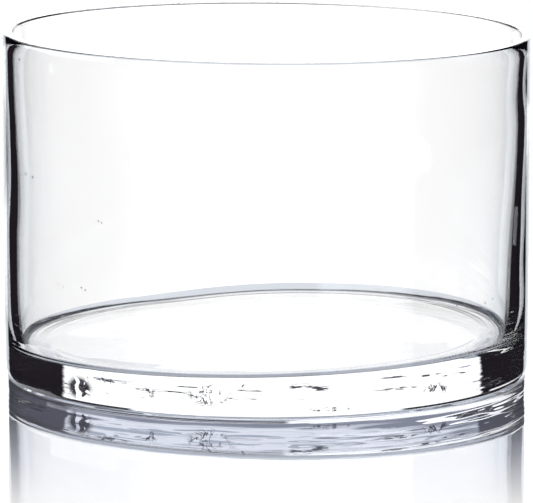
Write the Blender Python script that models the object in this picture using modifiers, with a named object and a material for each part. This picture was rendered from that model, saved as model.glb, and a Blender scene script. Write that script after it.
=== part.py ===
"""Glass cylinder vase: one body of clear glass, turned about the Z axis.

The vase stands on Z = 0. Lengths are in metres.
"""

import bpy
import numpy as np

OUTER_DIAMETER = 0.154
HEIGHT = 0.100
RIM_THICKNESS = 0.0030
FOOT_THICKNESS = 0.0038
BASE_THICKNESS = 0.0105

RIM_EDGE_RADIUS = 0.0005
FLOOR_FILLET_WIDTH = 0.0026
FLOOR_FILLET_HEIGHT = 0.0020
HEEL_INSET = 0.0008
HEEL_HEIGHT = 0.0030
STANDING_RING_WIDTH = 0.0050
PUNT_DEPTH = 0.0003

TURN_STEPS = 80
WELD_DISTANCE = 0.00001

GLASS_COLOUR = (0.93, 0.96, 0.97, 1.0)
GLASS_ROUGHNESS = 0.02
GLASS_REFRACTION = 1.52


def clear_scene():
    """Removes every object that the scene starts with."""
    for obj in list(bpy.data.objects):
        bpy.data.objects.remove(obj, do_unlink=True)


def arc(centre, radii, start, end, steps):
    """Points of an elliptical arc in the plane of radius and height.

    The angles are in degrees, from the outward direction towards +Z.
    """
    angle = np.radians(np.linspace(start, end, steps + 1))
    radius = centre[0] + radii[0] * np.cos(angle)
    height = centre[1] + radii[1] * np.sin(angle)
    return np.column_stack([radius, height])


def punt_curve(reach, steps):
    """Points of the hollow underside, in from the standing ring to the axis.

    The height is PUNT_DEPTH * (1 - (r / reach)^2).
    """
    radius = np.linspace(reach, 0.0, steps + 1)
    height = PUNT_DEPTH * (1.0 - (radius / reach) ** 2)
    return np.column_stack([radius, height])


def vase_profile():
    """The half section, from the middle of the floor to the middle of the underside.

    It runs out over the floor, up the inner wall, which thins evenly to the rim,
    over the rim, down the outer wall, round the heel, and in over the standing
    ring and the punt.
    """
    outer_radius = OUTER_DIAMETER / 2
    foot_radius = outer_radius - FOOT_THICKNESS
    rim_radius = outer_radius - RIM_THICKNESS
    floor_reach = foot_radius - FLOOR_FILLET_WIDTH
    ring_outer = outer_radius - HEEL_INSET
    ring_inner = ring_outer - STANDING_RING_WIDTH

    floor_middle = [(0.0, BASE_THICKNESS)]
    fillet_centre = (floor_reach, BASE_THICKNESS + FLOOR_FILLET_HEIGHT)
    fillet = arc(fillet_centre, (FLOOR_FILLET_WIDTH, FLOOR_FILLET_HEIGHT), -90, 0, 6)

    edge_radii = (RIM_EDGE_RADIUS, RIM_EDGE_RADIUS)
    edge_height = HEIGHT - RIM_EDGE_RADIUS
    inner_edge = arc((rim_radius + RIM_EDGE_RADIUS, edge_height), edge_radii, 180, 90, 3)
    outer_edge = arc((outer_radius - RIM_EDGE_RADIUS, edge_height), edge_radii, 90, 0, 3)

    heel = arc((ring_outer, HEEL_HEIGHT), (HEEL_INSET, HEEL_HEIGHT), 0, -90, 7)
    punt = punt_curve(ring_inner, 4)
    return np.vstack([floor_middle, fillet, inner_edge, outer_edge, heel, punt])


def turned_body(name, profile, material):
    """Turns a half section about Z with a Screw modifier into one closed body."""
    points = [(radius, 0.0, height) for radius, height in profile]
    edges = [(index, index + 1) for index in range(len(points) - 1)]
    mesh = bpy.data.meshes.new(name)
    mesh.from_pydata(points, edges, [])
    mesh.materials.append(material)
    body = bpy.data.objects.new(name, mesh)

    screw = body.modifiers.new("turn", "SCREW")
    screw.axis = "Z"
    screw.angle = 2 * np.pi
    screw.steps = TURN_STEPS
    screw.render_steps = TURN_STEPS
    screw.use_smooth_shade = True
    screw.use_merge_vertices = True
    screw.merge_threshold = WELD_DISTANCE
    screw.show_render = screw.show_viewport
    return body


def clear_glass():
    """Clear soda-lime glass."""
    material = bpy.data.materials.new("clear_glass")
    material.use_nodes = True
    shader = material.node_tree.nodes["Principled BSDF"]
    shader.inputs["Base Color"].default_value = GLASS_COLOUR
    shader.inputs["Roughness"].default_value = GLASS_ROUGHNESS
    shader.inputs["Metallic"].default_value = 0.0
    shader.inputs["IOR"].default_value = GLASS_REFRACTION
    shader.inputs["Transmission Weight"].default_value = 1.0
    return material


def build():
    """Makes the vase in a collection named for it."""
    clear_scene()
    collection = bpy.data.collections.new("glass_cylinder_vase")
    bpy.context.scene.collection.children.link(collection)
    vase = turned_body("glass_vase", vase_profile(), clear_glass())
    collection.objects.link(vase)


build()
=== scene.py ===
"""Glass cylinder vase on a glossy white table, lit through from behind."""

import math

import bpy
import numpy as np
from mathutils import Matrix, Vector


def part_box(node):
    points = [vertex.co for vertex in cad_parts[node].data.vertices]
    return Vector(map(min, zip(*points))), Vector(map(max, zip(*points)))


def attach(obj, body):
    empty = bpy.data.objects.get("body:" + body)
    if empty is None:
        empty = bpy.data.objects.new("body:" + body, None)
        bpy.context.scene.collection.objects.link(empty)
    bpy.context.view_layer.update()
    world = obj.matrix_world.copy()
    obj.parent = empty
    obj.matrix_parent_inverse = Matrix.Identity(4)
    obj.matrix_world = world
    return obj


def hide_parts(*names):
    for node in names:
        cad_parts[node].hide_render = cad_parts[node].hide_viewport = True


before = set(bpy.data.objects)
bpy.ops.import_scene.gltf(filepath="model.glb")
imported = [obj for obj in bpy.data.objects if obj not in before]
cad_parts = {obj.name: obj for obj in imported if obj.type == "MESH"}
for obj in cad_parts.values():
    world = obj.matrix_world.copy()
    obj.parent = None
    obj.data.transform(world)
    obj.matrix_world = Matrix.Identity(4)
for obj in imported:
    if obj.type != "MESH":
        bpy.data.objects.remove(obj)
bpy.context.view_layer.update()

# Sizes in metres, slopes in radians, angles of the studio in degrees.
LOW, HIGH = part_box("glass_vase")
OUTER_RADIUS = (HIGH.x - LOW.x) / 2
HEIGHT = HIGH.z - LOW.z
RIM_THICKNESS = 0.0030
BASE_THICKNESS = 0.0105
RIM_EDGE_RADIUS = 0.0005

# The wall swells between two heights, which lie higher on the light side at -X.
WALL_SWELL = 0.0008
SWELL_HEIGHTS = (0.020, 0.074)
SWELL_RISE_ON_LIGHT_SIDE = (0.026, 0.022)
HEAVY_SIDE_RIM = 0.0004
HEAVY_SIDE_FOOT = 0.0006
HEAVY_SIDE_POWER = 1.5
HEAVY_FOOT_HEIGHTS = (0.018, 0.076)
RIM_LEAN = 0.00020
RIM_LEAN_HEIGHTS = (0.078, 0.0985)
FOOT_FLARE = 0.0005
FOOT_FLARE_LENGTH = 0.006

# Slow ripples: waves round the vase, radians a metre up it, and the phase.
RIPPLE = 0.00006
RIPPLE_WAVES = ((2, 40.0, 0.4), (3, -70.0, 1.9), (5, 120.0, 4.1), (8, 190.0, 2.7), (13, -260.0, 5.3))
RIPPLE_FALL = 1.4
OUTSIDE_RIPPLE_PHASE = 2.0
OUTSIDE_RIPPLE_SHARE = 0.3
RIPPLE_END_AT_RIM = (0.092, 0.099)
RIPPLE_START_AT_HEEL = 0.010

FILLET_WIDTH = 0.0026
FILLET_HEIGHT = 0.0020
# Rings in the floor: distance in from the fillet, rise and width.
FLOOR_RINGS = ((0.0010, -0.00006, 0.0005), (0.0026, 0.00005, 0.0005), (0.0052, -0.00004, 0.0007))
FLOOR_MIDDLE = 0.001
FLOOR_EDGE_ZONE = 0.058
FLOOR_WAVE = 0.000009
FLOOR_WAVE_END = (0.064, 0.068)
FLOOR_TILT = 0.022
FLOOR_DIP = -0.004
FLOOR_LEAN_HEIGHTS = (0.014, 0.045)
RIM_TILT = -0.0084
RIM_TILT_HEIGHTS = (0.060, 0.099)

HEEL_TAPER = 0.0004
HEEL_TAPER_HEIGHT = 0.025
HEEL_TAPER_POWER = 2.0
HEEL_EDGE_WIDTH = 0.0008
HEEL_EDGE_HEIGHT = 0.0030
HEEL_WAVE = 0.000010
HEEL_RING = 0.000007
HEEL_WAVE_START = (0.0030, 0.0050)
HEEL_WAVE_FADE = 0.009
HEEL_WAVE_TOP = 0.013
STANDING_RING_WIDTH = 0.0050
PUNT_DEPTH = 0.00015

COLUMNS = 256
FLOOR_ROWS = 56
FLOOR_EDGE_ROWS = 40
ROUND_ROWS = 14
INNER_WALL_ROWS = 62
RIM_EDGE_ROWS = 6
FLAT_ROWS = 4
OUTER_WALL_ROWS = 50
HEEL_WAVE_ROWS = 44
UNDERSIDE_ROWS = 50

# Places of painted shade in the front of the glass, each: x, height, half width and half height; near-black
# marks stand where the real glass has chill wrinkles, blots, streaks and seeds that bend dark light.
WRINKLE_SHADE_PLACES = (
    (-0.045, 0.0080, 0.0085, 0.0010),
    (-0.016, 0.0062, 0.0075, 0.0042),
    (-0.008, 0.0092, 0.0040, 0.0008),
    (0.0480, 0.0050, 0.0052, 0.0026),
    (0.0180, 0.0022, 0.0090, 0.0009),
    (-0.0330, 0.0060, 0.0030, 0.0020),
)
BLOT_SHADE_PLACES = (
    (-0.0530, 0.0046, 0.0046, 0.0044),
    (0.0485, 0.0050, 0.0030, 0.0016),
)
STREAK_SHADE_PLACES = (
    (0.0098, 0.0089, 0.0046, 0.0013),
    (0.0150, 0.0083, 0.0050, 0.0010),
    (0.0370, 0.0067, 0.0085, 0.0006),
    (0.0360, 0.0101, 0.0055, 0.0004),
    (0.0450, 0.0095, 0.0060, 0.0004),
    (0.0535, 0.0086, 0.0050, 0.0004),
    (-0.0440, 0.0080, 0.0060, 0.0004),
)
SEED_SHADE_PLACES = (
    (-0.0706, 0.0955, 0.00030, 0.00040),
    (-0.0755, 0.0925, 0.00025, 0.00040),
    (-0.0668, 0.0626, 0.00025, 0.00045),
    (-0.0464, 0.0530, 0.00020, 0.00030),
    (-0.0512, 0.0332, 0.00025, 0.00025),
    (-0.0577, 0.0329, 0.00020, 0.00020),
    (0.0539, 0.0283, 0.00030, 0.00025),
    (0.0624, 0.0274, 0.00025, 0.00030),
)
# Noise scales, core and near-black colour of the painted shade marks in the glass.
WRINKLE_SHADE_SCALE = 230.0
STREAK_SHADE_SCALE = 506.0
STREAK_SHADE_STRETCH = (0.35, 1.0, 4.0)
PAINTED_SHADE_CORE = 0.55
PAINTED_SHADE_COLOUR = (0.004, 0.003, 0.005, 1)
REFRACTIVE_INDEX = 1.52
BODY_COLOUR = (0.80, 0.90, 0.96, 1.0)
WIPING_SCALE = 22.0
WIPING_ROUGHNESS = 0.012

# Windows of the studio: bearing of the middle, and the band of steepness that it fills.
WALL_BEHIND = (0.0, -1.0, 19.0)
WALL_BEHIND_TOP = 12.2
SIDE_WINDOWS = ((-90.0, -1.0, 5.9), (135.0, 9.5, 23.0), (-45.0, 19.0, 35.0))
LOW_WINDOW = (135.0, 4.0, 21.0)
OUT_OF_REACH = 360.0
FLAG_LEAN = 2.2
WIDE_FLAG = (40.2, 41.7)
NARROW_FLAG = (20.5, 22.5)
STUDIO_STRENGTH = 1.35
# The wall behind the vase: degrees aside over this many, and how bright it is there.
WALL_WIDTH = 24.0
WALL_SHADES = (
    (0.03, (1.000, 1.000, 1.000)),
    (0.10, (0.900, 0.900, 0.900)),
    (0.16, (0.860, 0.860, 0.863)),
    (0.21, (0.868, 0.868, 0.871)),
    (0.29, (0.900, 0.900, 0.906)),
    (0.40, (0.960, 0.967, 0.978)),
    (0.55, (0.990, 1.020, 1.050)),
    (0.70, (0.900, 0.945, 0.990)),
    (1.00, (0.920, 0.980, 1.050)),
)
WHITE = (1, 1, 1, 1)
NIGHT = (0, 0, 0, 1)
BLACK_CARD = (0.010, 0.008, 0.011, 1)
VIOLET_CARD = (0.038, 0.038, 0.055, 1)
GREY_CARD = (0.30, 0.33, 0.39, 1)
OVERHEAD_LIGHT = (1.7, 1.7, 1.7, 1)
CEILING_BRIGHT = (0.62, 0.63, 0.69, 1)
CEILING_DARK = (0.17, 0.18, 0.23, 1)
FLOOR_OF_STUDIO = (0.62, 0.65, 0.70, 1)
UNDER_THE_BASE = (0.55, 0.56, 0.63, 1)

TABLE_RADIUS = 6.0
TABLE_GAP = 0.0003
MIRROR_FADE = (0.10, 0.255)
MIRROR_LOSS = 0.05
MIRROR_COLOUR = (0.96, 0.97, 1.0, 1)
# Painted shade on the glowing table: bluish and darker near the vase, white beyond this reach.
PAINTED_SHADE_REACH = (0.10, 0.20)
PAINTED_SHADE_TINT = (0.90, 0.95, 1.10, 1)
HEEL_SHADE_INNER = (0.0625, 0.0650)
HEEL_SHADE_OUTER = (0.074, 0.078)
HEEL_SHADE_FRONT = (-0.035, 0.010)
HEEL_SHADE_COLOUR = (0.40, 0.43, 0.50, 1)

CAMERA_DISTANCE = 1.511
CAMERA_HEIGHT = 0.2786
CAMERA_DIP = 9.16
CAMERA_LENS = 352.3


def line(start, end, steps):
    """Points on the straight line between two (radius, height) points, without the last."""
    share = np.linspace(0.0, 1.0, steps, endpoint=False)[:, None]
    return np.array(start) * (1.0 - share) + np.array(end) * share


def arc(centre, radii, start, end, steps):
    """Points on an elliptical arc, centre + radii * (cos a, sin a), without the last; degrees."""
    angle = np.radians(np.linspace(start, end, steps, endpoint=False))
    across = centre[0] + radii[0] * np.cos(angle)
    up = centre[1] + radii[1] * np.sin(angle)
    return np.column_stack([across, up])


def smooth(low, high, value):
    """Smooth step: 0 up to low, 1 from high on, with no corner between."""
    share = np.clip((value - low) / (high - low), 0.0, 1.0)
    return share * share * (3.0 - 2.0 * share)


def wall_thickness(height, turn=math.pi):
    """Thickness of the wall at a height and a turn about Z.

    The rim's thickness, plus a swell down the wall, plus the heavy side at +X, which grows as
    ((1 + cos turn) / 2) to a power, less a lean of the rim as cos turn, plus a flare that dies away
    exponentially above the floor.
    """
    light_side = (0.5 - 0.5 * np.cos(turn)) ** 2
    swell_low = SWELL_HEIGHTS[0] + SWELL_RISE_ON_LIGHT_SIDE[0] * light_side
    swell_high = SWELL_HEIGHTS[1] + SWELL_RISE_ON_LIGHT_SIDE[1] * light_side
    swell = WALL_SWELL * (1.0 - smooth(swell_low, swell_high, height))
    side = (0.5 + 0.5 * np.cos(turn)) ** HEAVY_SIDE_POWER
    near_rim = smooth(*RIM_LEAN_HEIGHTS, height)
    lean = RIM_LEAN * near_rim * np.cos(turn)
    near_foot = 1.0 - smooth(*HEAVY_FOOT_HEIGHTS, height)
    heavy = side * (HEAVY_SIDE_RIM * (1.0 - near_rim) + HEAVY_SIDE_FOOT * near_foot)
    above_floor = np.maximum(height - BASE_THICKNESS - FILLET_HEIGHT, 0.0)
    flare = FOOT_FLARE * np.exp(-above_floor / FOOT_FLARE_LENGTH)
    return RIM_THICKNESS + swell + heavy - lean + flare


def ripple(height, turn, phase):
    """Slow unevenness of a blown wall: a sum of sines of the turn and the height.

    The wave that goes n times round is lower by n to a power.
    """
    total = 0.0
    for count, rate, start in RIPPLE_WAVES:
        total = total + np.sin(count * turn + rate * height + start + phase) / count**RIPPLE_FALL
    return RIPPLE * total


def outer_radius(height):
    """Radius of the outer wall at a height: straight, then drawn in towards the heel."""
    left = np.clip(1.0 - height / HEEL_TAPER_HEIGHT, 0.0, 1.0)
    return OUTER_RADIUS - HEEL_TAPER * left**HEEL_TAPER_POWER


def pressed_floor(reach):
    """The floor from its middle to the foot of the fillet, with three low rings from the mould.

    Each ring is a Gaussian ridge or groove around its own radius.
    """
    middle = np.linspace(FLOOR_MIDDLE, FLOOR_EDGE_ZONE, FLOOR_ROWS, endpoint=False)
    edge = np.linspace(FLOOR_EDGE_ZONE, reach, FLOOR_EDGE_ROWS, endpoint=False)
    radius = np.concatenate([middle, edge])
    height = np.full(radius.shape, BASE_THICKNESS)
    for inset, rise, width in FLOOR_RINGS:
        height += rise * np.exp(-(((radius - (reach - inset)) / width) ** 2))
    return np.column_stack([radius, height])


def vase_profile():
    """The half section from the middle of the floor, over the rim, to the middle of the underside."""
    fillet_top = BASE_THICKNESS + FILLET_HEIGHT
    fillet_outer = outer_radius(fillet_top) - wall_thickness(fillet_top)
    floor_reach = fillet_outer - FILLET_WIDTH
    edge = (RIM_EDGE_RADIUS, RIM_EDGE_RADIUS)
    rim_inner = OUTER_RADIUS - RIM_THICKNESS + RIM_EDGE_RADIUS
    rim_outer = OUTER_RADIUS - RIM_EDGE_RADIUS
    below_rim = HEIGHT - RIM_EDGE_RADIUS

    # The rows lie closer together near the floor.
    rise = np.linspace(0.0, 1.0, INNER_WALL_ROWS, endpoint=False) ** 1.5
    inner_height = fillet_top + (below_rim - fillet_top) * rise
    inner_radius = outer_radius(inner_height) - wall_thickness(inner_height)
    wall_height = np.linspace(below_rim, HEEL_WAVE_TOP, OUTER_WALL_ROWS, endpoint=False)
    heel_height = np.linspace(HEEL_WAVE_TOP, HEEL_EDGE_HEIGHT, HEEL_WAVE_ROWS, endpoint=False)
    outer_height = np.concatenate([wall_height, heel_height])

    heel_outer = outer_radius(HEEL_EDGE_HEIGHT)
    heel = (HEEL_EDGE_WIDTH, HEEL_EDGE_HEIGHT)
    ring_outer = heel_outer - HEEL_EDGE_WIDTH
    ring_inner = ring_outer - STANDING_RING_WIDTH
    punt_radius = np.linspace(ring_inner, 0.0, UNDERSIDE_ROWS + 1)[:-1]
    punt_height = PUNT_DEPTH * (1.0 - (punt_radius / ring_inner) ** 2) ** 2
    parts = [
        pressed_floor(floor_reach),
        arc((floor_reach, fillet_top), (FILLET_WIDTH, FILLET_HEIGHT), -90, 0, ROUND_ROWS),
        np.column_stack([inner_radius, inner_height]),
        arc((rim_inner, below_rim), edge, 180, 90, RIM_EDGE_ROWS),
        line((rim_inner, HEIGHT), (rim_outer, HEIGHT), FLAT_ROWS),
        arc((rim_outer, below_rim), edge, 90, 0, RIM_EDGE_ROWS),
        np.column_stack([outer_radius(outer_height), outer_height]),
        arc((ring_outer, HEEL_EDGE_HEIGHT), heel, 0, -90, ROUND_ROWS),
        line((ring_outer, 0.0), (ring_inner, 0.0), FLAT_ROWS),
        np.column_stack([punt_radius, punt_height]),
    ]
    return np.vstack(parts)


def turned_mesh(name, rows, floor_middle, under_middle):
    """A closed mesh from rows of points (rows x columns x 3), with one point at each end."""
    count, around = rows.shape[:2]
    points = np.vstack([rows.reshape(-1, 3), [floor_middle], [under_middle]])
    row = np.arange(count - 1)[:, None] * around
    column = np.arange(around)
    beyond = (column + 1) % around
    corners = [row + column, row + around + column, row + around + beyond, row + beyond]
    quads = np.stack(corners, axis=2).reshape(-1, 4)
    first = count * around
    last = first + 1
    end = (count - 1) * around
    top = np.stack([np.full(around, first), column, beyond], axis=1)
    bottom = np.stack([np.full(around, last), end + beyond, end + column], axis=1)
    mesh = bpy.data.meshes.new(name)
    mesh.from_pydata(points.tolist(), [], quads.tolist() + top.tolist() + bottom.tolist())
    mesh.polygons.foreach_set("use_smooth", np.ones(len(mesh.polygons), bool))
    mesh.update()
    return mesh


def floor_waves(reach, turn):
    """Height of the slow rings that the cold plunger left in the floor.

    Sines of the distance from the axis, whose phase wanders with the turn about it, fading out to
    nothing at the middle.
    """
    wander = 1.5 * np.sin(2.0 * turn + 1.0) + 0.9 * np.sin(5.0 * turn) + 0.4 * np.sin(11.0 * turn + 2.0)
    waves = np.sin(330.0 * reach + wander) + 0.6 * np.sin(610.0 * reach - 1.7 * wander)
    return FLOOR_WAVE * waves * smooth(0.001, 0.012, reach)


def heel_waves(height, turn):
    """Unevenness of the outside just above the heel.

    Fine rings, sines of the height whose phase wanders with the turn, and slower lobes across them,
    sines of the turn whose phase moves with the height.
    """
    wander = 1.6 * np.sin(3.0 * turn) + 0.8 * np.sin(8.0 * turn + 1.0)
    rings = np.sin(3700.0 * height + wander) + 0.6 * np.sin(2300.0 * height - 1.5 * wander)
    broad = np.sin(37.0 * turn + 2.0 * np.sin(5.0 * turn) + 700.0 * height)
    lobes = broad + 0.7 * np.sin(23.0 * turn - 1100.0 * height)
    return HEEL_RING * rings + HEEL_WAVE * lobes


def blown_vase():
    """The vase: the half section turned about Z, then leant as it came off the mould.

    The floor rises and the rim falls towards +X, in proportion to x.
    """
    profile = vase_profile()
    turn = np.linspace(0.0, 2.0 * np.pi, COLUMNS, endpoint=False)
    reach = profile[:, :1]
    radius = reach + 0.0 * turn
    height = profile[:, 1:] + 0.0 * turn
    inside = np.arange(len(profile))[:, None] < np.argmax(profile[:, 1])

    extra = wall_thickness(height, turn) - wall_thickness(height)
    bore = OUTER_RADIUS - wall_thickness(height)
    flat_width = RIM_THICKNESS - 2.0 * RIM_EDGE_RADIUS
    across_flat = np.clip((OUTER_RADIUS - RIM_EDGE_RADIUS - radius) / flat_width, 0.0, 1.0)
    on_flat = np.where(height > HEIGHT - 1e-7, across_flat, 0.0)

    on_wall = smooth(0.5, 0.95, reach / OUTER_RADIUS)
    phase = np.where(inside, 0.0, OUTSIDE_RIPPLE_PHASE)
    ripples = ripple(height, turn, phase) * on_wall * (1.0 - smooth(*RIPPLE_END_AT_RIM, height))
    outside_share = OUTSIDE_RIPPLE_SHARE * smooth(0.0, RIPPLE_START_AT_HEEL, height)
    ripples = ripples * np.where(inside, 1.0, outside_share)
    above_heel = smooth(*HEEL_WAVE_START, height) * (1.0 - smooth(HEEL_WAVE_FADE, HEEL_WAVE_TOP, height))
    ripples = ripples + np.where(inside, 0.0, above_heel * heel_waves(height, turn))
    radius = radius - extra * np.where(inside, radius / bore, on_flat) - ripples

    across = radius * np.cos(turn)
    depth = radius * np.sin(turn)
    near_floor = np.where(inside, 1.0 - smooth(*FLOOR_LEAN_HEIGHTS, height), 0.0)
    near_rim = smooth(*RIM_TILT_HEIGHTS, height)
    on_floor = np.where(inside, 1.0 - smooth(*FLOOR_WAVE_END, reach), 0.0)
    height = height + on_floor * floor_waves(reach, turn)
    tilt = across * (FLOOR_TILT * near_floor + RIM_TILT * near_rim)
    height = height + tilt + depth * FLOOR_DIP * near_floor
    rows = np.stack([across, depth, height], axis=2)
    mesh = turned_mesh("blown_vase", rows, (0, 0, BASE_THICKNESS), (0, 0, PUNT_DEPTH))
    vase = bpy.data.objects.new("blown_vase", mesh)
    bpy.context.scene.collection.objects.link(vase)
    return vase


class Wires:
    """Short calls for shader nodes in one tree."""

    def __init__(self, tree):
        self.tree = tree

    def node(self, kind, **settings):
        """A new node of this kind."""
        node = self.tree.nodes.new(kind)
        for key, value in settings.items():
            setattr(node, key, value)
        return node

    def feed(self, socket, value):
        """Link a socket to another, or set its own value."""
        if isinstance(value, bpy.types.NodeSocket):
            self.tree.links.new(value, socket)
        else:
            socket.default_value = value

    def filled(self, kind, output, sockets, values, **settings):
        """An output of a new node, with these of its input sockets fed."""
        node = self.node(kind, **settings)
        for socket, value in zip(sockets, values):
            self.feed(node.inputs[socket], value)
        return node.outputs[output]

    def math(self, operation, *values):
        """The number that an operation makes of these."""
        return self.filled("ShaderNodeMath", 0, range(3), values, operation=operation)

    def vector(self, operation, output, *values):
        """The vector, or its Value, that an operation makes of these."""
        return self.filled("ShaderNodeVectorMath", output, range(2), values, operation=operation)

    def product(self, first, *others):
        """All the values multiplied: 1 where every one of them is 1."""
        for value in others:
            first = self.math("MULTIPLY", first, value)
        return first

    def most(self, first, *others):
        """The largest of the values."""
        for value in others:
            first = self.math("MAXIMUM", first, value)
        return first

    def opposite(self, share):
        """1 where the share is 0, and 0 where it is 1."""
        return self.math("SUBTRACT", 1.0, share)

    def over(self, value, limit):
        """1 where the value is greater than the limit."""
        return self.math("GREATER_THAN", value, limit)

    def ramp(self, value, low, high, to_low=0.0, to_high=1.0):
        """Smooth step of value from low to high."""
        numbers = (value, low, high, to_low, to_high)
        return self.filled("ShaderNodeMapRange", 0, range(5), numbers, interpolation_type="SMOOTHSTEP")

    def choose(self, share, first, second):
        """First number where the share is 0, second where it is 1."""
        return self.filled("ShaderNodeMix", 0, (0, 2, 3), (share, first, second), data_type="FLOAT")

    def blend(self, share, first, second):
        """First colour where the share is 0, second where it is 1."""
        return self.filled("ShaderNodeMix", 2, (0, 6, 7), (share, first, second), data_type="RGBA")

    def cover(self, share, first, second):
        """First surface where the share is 0, second where it is 1."""
        return self.filled("ShaderNodeMixShader", 0, range(3), (share, first, second))

    def noise(self, place, **settings):
        """Level of a noise; the settings are its sockets."""
        return self.filled("ShaderNodeTexNoise", 0, ("Vector", *settings), (place, *settings.values()))

    def parts(self, vector):
        """The three outputs of a vector's parts."""
        node = self.node("ShaderNodeSeparateXYZ")
        self.feed(node.inputs[0], vector)
        return node.outputs


def clear_glass():
    """Clear soda-lime glass with faint wipe marks, and painted shade: near-black marks in its colour where
    the real glass has seeds and chill wrinkles round the heel.
    """
    material = bpy.data.materials.new("clear_glass")
    material.use_nodes = True
    tree = material.node_tree
    wires = Wires(tree)
    shader = tree.nodes["Principled BSDF"]
    shader.inputs["IOR"].default_value = REFRACTIVE_INDEX
    shader.inputs["Transmission Weight"].default_value = 1.0
    place = wires.node("ShaderNodeTexCoord").outputs["Object"]

    def near(x, z, half_width, half_height):
        """1 round a place on the outside, fading to 0 at an ellipse of this half width and height."""
        moved = wires.vector("SUBTRACT", 0, place, (x, 0.0, z))
        scaled = wires.vector("MULTIPLY", 0, moved, (1.0 / half_width, 0.0, 1.0 / half_height))
        length = wires.vector("LENGTH", "Value", scaled)
        return wires.ramp(length, PAINTED_SHADE_CORE, 1.0, 1.0, 0.0)

    def widest(places):
        """The largest of near() over several places."""
        return wires.most(0.0, *(near(*spot) for spot in places))

    # Painted shade: the wrinkles follow the outline of a noise's patches, blots fill them, and streaks are
    # drawn out level, all near black in the glass's colour.
    level = wires.noise(place, Scale=WRINKLE_SHADE_SCALE, Detail=4.0, Roughness=0.62, Distortion=0.6)
    from_middle = wires.math("ABSOLUTE", wires.math("SUBTRACT", level, 0.5))
    outline = wires.ramp(from_middle, 0.010, 0.028, 1.0, 0.0)
    wrinkle_shade = wires.product(outline, widest(WRINKLE_SHADE_PLACES))
    blot_shade = wires.product(wires.ramp(level, 0.475, 0.495), widest(BLOT_SHADE_PLACES))
    stretched = wires.vector("MULTIPLY", 0, place, STREAK_SHADE_STRETCH)
    drawn = wires.noise(stretched, Scale=STREAK_SHADE_SCALE, Detail=3.0)
    streak_shade = wires.product(wires.ramp(drawn, 0.44, 0.50), widest(STREAK_SHADE_PLACES))
    front = wires.ramp(wires.parts(place)[1], -0.010, 0.0, 1.0, 0.0)
    # The marks are painted shade, on the front only: near black in the glass's colour where real dents and
    # bubbles bend dark light.
    painted_shade_marks = wires.product(wires.most(wrinkle_shade, blot_shade, streak_shade, widest(SEED_SHADE_PLACES)), front)
    wires.feed(shader.inputs["Base Color"], wires.blend(painted_shade_marks, WHITE, PAINTED_SHADE_COLOUR))

    wiping = wires.noise(place, Scale=WIPING_SCALE, Detail=3.0)
    wires.feed(shader.inputs["Roughness"], wires.ramp(wiping, 0.52, 0.80, 0.0, WIPING_ROUGHNESS))

    body = wires.node("ShaderNodeVolumeAbsorption")
    body.inputs["Color"].default_value = BODY_COLOUR
    body.inputs["Density"].default_value = 1.0
    tree.links.new(body.outputs["Volume"], tree.nodes["Material Output"].inputs["Volume"])
    return material


def wall_shades(wires, aside):
    """Brightness of the wall behind the vase, by the degrees aside from a window's middle."""
    node = wires.node("ShaderNodeValToRGB")
    wires.feed(node.inputs[0], wires.math("DIVIDE", aside, WALL_WIDTH))
    stops = node.color_ramp.elements
    for stop, (position, colour) in zip(stops, (WALL_SHADES[0], WALL_SHADES[-1])):
        stop.position = position
        stop.color = (*colour, 1.0)
    for position, colour in WALL_SHADES[1:-1]:
        stop = stops.new(position)
        stop.color = (*colour, 1.0)
    return node.outputs[0]


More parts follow.
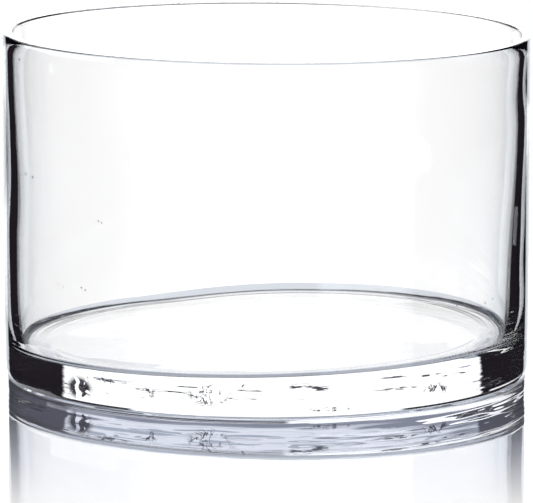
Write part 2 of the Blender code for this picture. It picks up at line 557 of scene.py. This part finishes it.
def studio_world():
    """White to the eye; the glass sees a bright wall behind the vase and dark to its sides.

    A direction has a steepness and a bearing, which goes from +Y towards +X. Light stands in windows
    round the middle of some bearings, and a black card ends each. The bounces and crossings of a ray
    tell whether it came through the wall or through the base, which has its cards further aside.
    """
    world = bpy.data.worlds.new("studio")
    world.use_nodes = True
    bpy.context.scene.world = world
    wires = Wires(world.node_tree)
    background = world.node_tree.nodes["Background"]
    path = wires.node("ShaderNodeLightPath").outputs
    camera_ray = path["Is Camera Ray"]
    crossings = path["Transmission Depth"]
    bounces = path["Glossy Depth"]
    x, y, z = wires.parts(wires.node("ShaderNodeTexCoord").outputs["Generated"])
    to_degrees = 180 / math.pi
    steep = wires.math("ABSOLUTE", wires.math("MULTIPLY", wires.math("ARCSINE", z), to_degrees))
    bearing = wires.math("MULTIPLY", wires.math("ARCTAN2", x, y), to_degrees)
    rising = wires.over(z, 0.0)
    falling = wires.opposite(rising)

    def off(centre):
        """Angle between the bearing and a centre bearing."""
        turned = wires.math("SUBTRACT", bearing, centre)
        return wires.math("ABSOLUTE", wires.math("WRAP", turned, 180.0, -180.0))

    def within(low, high):
        """1 where the steepness is between two angles."""
        return wires.product(wires.over(steep, low), wires.math("LESS_THAN", steep, high))

    def window(centre, low, high):
        """Angle aside from a window's middle, and out of reach beyond its band of steepness."""
        beyond = wires.opposite(within(low, high))
        return wires.math("ADD", off(centre), wires.math("MULTIPLY", beyond, OUT_OF_REACH))

    too_high = wires.product(rising, wires.over(steep, WALL_BEHIND_TOP))
    aside = wires.math("ADD", window(*WALL_BEHIND), wires.math("MULTIPLY", too_high, OUT_OF_REACH))
    for side_window in SIDE_WINDOWS:
        aside = wires.math("MINIMUM", aside, window(*side_window))
    low_window = wires.math("ADD", window(*LOW_WINDOW), wires.math("MULTIPLY", rising, OUT_OF_REACH))
    aside = wires.math("MINIMUM", aside, low_window)

    odd = wires.math("MODULO", bounces, 2.0)
    not_two = wires.over(wires.math("ABSOLUTE", wires.math("SUBTRACT", crossings, 2.0)), 0.5)
    one_body = wires.opposite(not_two)
    turned_back = wires.math("ABSOLUTE", wires.math("SUBTRACT", odd, rising))
    through_wall = wires.most(turned_back, not_two)

    leaning = wires.math("MULTIPLY", wires.math("SIGN", bearing), FLAG_LEAN)
    wide_flag = wires.ramp(wires.math("ADD", aside, leaning), *WIDE_FLAG)
    narrow_flag = wires.ramp(aside, *NARROW_FLAG)
    flag = wires.choose(through_wall, wide_flag, narrow_flag)
    ahead = wires.ramp(wires.math("ADD", off(0.0), leaning), *WIDE_FLAG, 1.0, 0.0)

    # Grey beyond the flags, in the ceiling over the wall behind, and for light turned twice in the base.
    beyond_flag = wires.product(wires.ramp(aside, 33.0, 36.0), wires.opposite(wires.ramp(aside, 75.0, 90.0)))
    beyond_flag = wires.product(wires.ramp(steep, 11.7, 12.7), beyond_flag, wires.over(crossings, 2.5))
    ceiling = wires.product(rising, within(WALL_BEHIND_TOP, 19.0), ahead, wires.ramp(aside, 58.0, 64.0))
    many_bounces = wires.product(one_body, wires.over(bounces, 2.5), rising)
    twice = wires.product(many_bounces, ahead, within(5.9, WALL_BEHIND_TOP))
    grey = wires.most(beyond_flag, ceiling, twice)

    on_rim = wires.product(wires.math("LESS_THAN", crossings, 0.5), rising)
    wall = wires.blend(on_rim, wall_shades(wires, aside), OVERHEAD_LIGHT)
    lit = wires.blend(through_wall, WHITE, wall)
    card = wires.blend(many_bounces, BLACK_CARD, VIOLET_CARD)
    flagged = wires.blend(flag, lit, card)
    shaded = wires.blend(grey, flagged, GREY_CARD)

    mirrored = wires.product(one_body, wires.over(bounces, 1.5), rising)
    mirrored = wires.product(mirrored, ahead, within(WALL_BEHIND_TOP, 19.0))
    sky = wires.blend(wires.ramp(steep, 13.0, 15.6), CEILING_BRIGHT, CEILING_DARK)
    streaked = wires.blend(mirrored, shaded, sky)

    below = wires.blend(wires.ramp(off(0.0), 50.0, 65.0), FLOOR_OF_STUDIO, NIGHT)
    downward = wires.product(falling, ahead, not_two, wires.ramp(steep, 19.2, 20.4))
    very_steep = wires.most(wires.ramp(steep, 34.0, 36.0), downward)
    all_round = wires.blend(very_steep, streaked, below)

    sideways = wires.product(falling, wires.over(bounces, 2.5), odd)
    trapped = wires.most(sideways, wires.over(bounces, 3.5))
    trapped = wires.product(trapped, one_body, within(-1.0, 18.5))
    under = wires.blend(wires.product(wires.opposite(sideways), ahead), BLACK_CARD, UNDER_THE_BASE)
    lost = wires.blend(trapped, all_round, under)

    wires.feed(background.inputs["Color"], wires.blend(camera_ray, lost, WHITE))
    wires.feed(background.inputs["Strength"], wires.choose(camera_ray, STUDIO_STRENGTH, 1.0))


def table():
    """White glossy table, whose mirror fades out away from the vase; it glows white, with painted bluish
    shade round the vase, and a grey ring of painted shade under the heel.
    """
    bpy.ops.mesh.primitive_circle_add(vertices=96, radius=TABLE_RADIUS, fill_type="NGON")
    top = bpy.context.object
    top.name = "table"
    top.data.transform(Matrix.Translation((0, 0, -TABLE_GAP)))
    material = bpy.data.materials.new("glossy_white_table")
    material.use_nodes = True
    tree = material.node_tree
    wires = Wires(tree)
    tree.nodes.remove(tree.nodes["Principled BSDF"])
    path = wires.node("ShaderNodeLightPath").outputs
    place = wires.node("ShaderNodeTexCoord").outputs["Object"]
    reach = wires.vector("LENGTH", "Value", place)

    def glow(colour):
        """A surface that gives off this colour."""
        return wires.filled("ShaderNodeEmission", 0, ("Color",), (colour,))

    # The table glows white, with painted bluish shade round the vase.
    white = glow(wires.blend(wires.ramp(reach, *PAINTED_SHADE_REACH), PAINTED_SHADE_TINT, WHITE))
    mirror_values = (MIRROR_COLOUR, 0.0)
    mirror = wires.filled("ShaderNodeBsdfGlossy", 0, ("Color", "Roughness"), mirror_values)
    fade = wires.ramp(reach, *MIRROR_FADE, MIRROR_LOSS, 1.0)
    seen = wires.cover(fade, mirror, white)

    outer = wires.ramp(reach, *HEEL_SHADE_OUTER)
    ring = wires.math("SUBTRACT", wires.ramp(reach, *HEEL_SHADE_INNER), outer)
    under_heel = wires.product(ring, wires.ramp(wires.parts(place)[1], *HEEL_SHADE_FRONT, 1.0, 0.0))
    clear = wires.node("ShaderNodeBsdfTransparent").outputs[0]
    hidden = wires.cover(under_heel, clear, glow(HEEL_SHADE_COLOUR))
    either = wires.cover(path["Is Camera Ray"], hidden, seen)
    wires.feed(tree.nodes["Material Output"].inputs["Surface"], either)
    top.data.materials.append(material)


def camera():
    """Camera in front of the vase, a little above its rim."""
    lens_data = bpy.data.cameras.new("camera")
    lens_data.lens = CAMERA_LENS
    lens_data.sensor_width = 36.0
    lens_data.sensor_fit = "HORIZONTAL"
    lens_data.clip_end = 100.0
    view = bpy.data.objects.new("camera", lens_data)
    view.location = (0.0, -CAMERA_DISTANCE, CAMERA_HEIGHT)
    view.rotation_euler = (math.radians(90.0 - CAMERA_DIP), 0.0, 0.0)
    bpy.context.scene.collection.objects.link(view)
    bpy.context.scene.camera = view


bpy.context.scene.view_settings.view_transform = "Standard"
# Thick clear glass needs many inner reflections.
bpy.context.scene.cycles.max_bounces = 18
bpy.context.scene.cycles.glossy_bounces = 12
vase = blown_vase()
vase.data.materials.append(clear_glass())
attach(vase, "root")
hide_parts("glass_vase")
studio_world()
table()
camera()
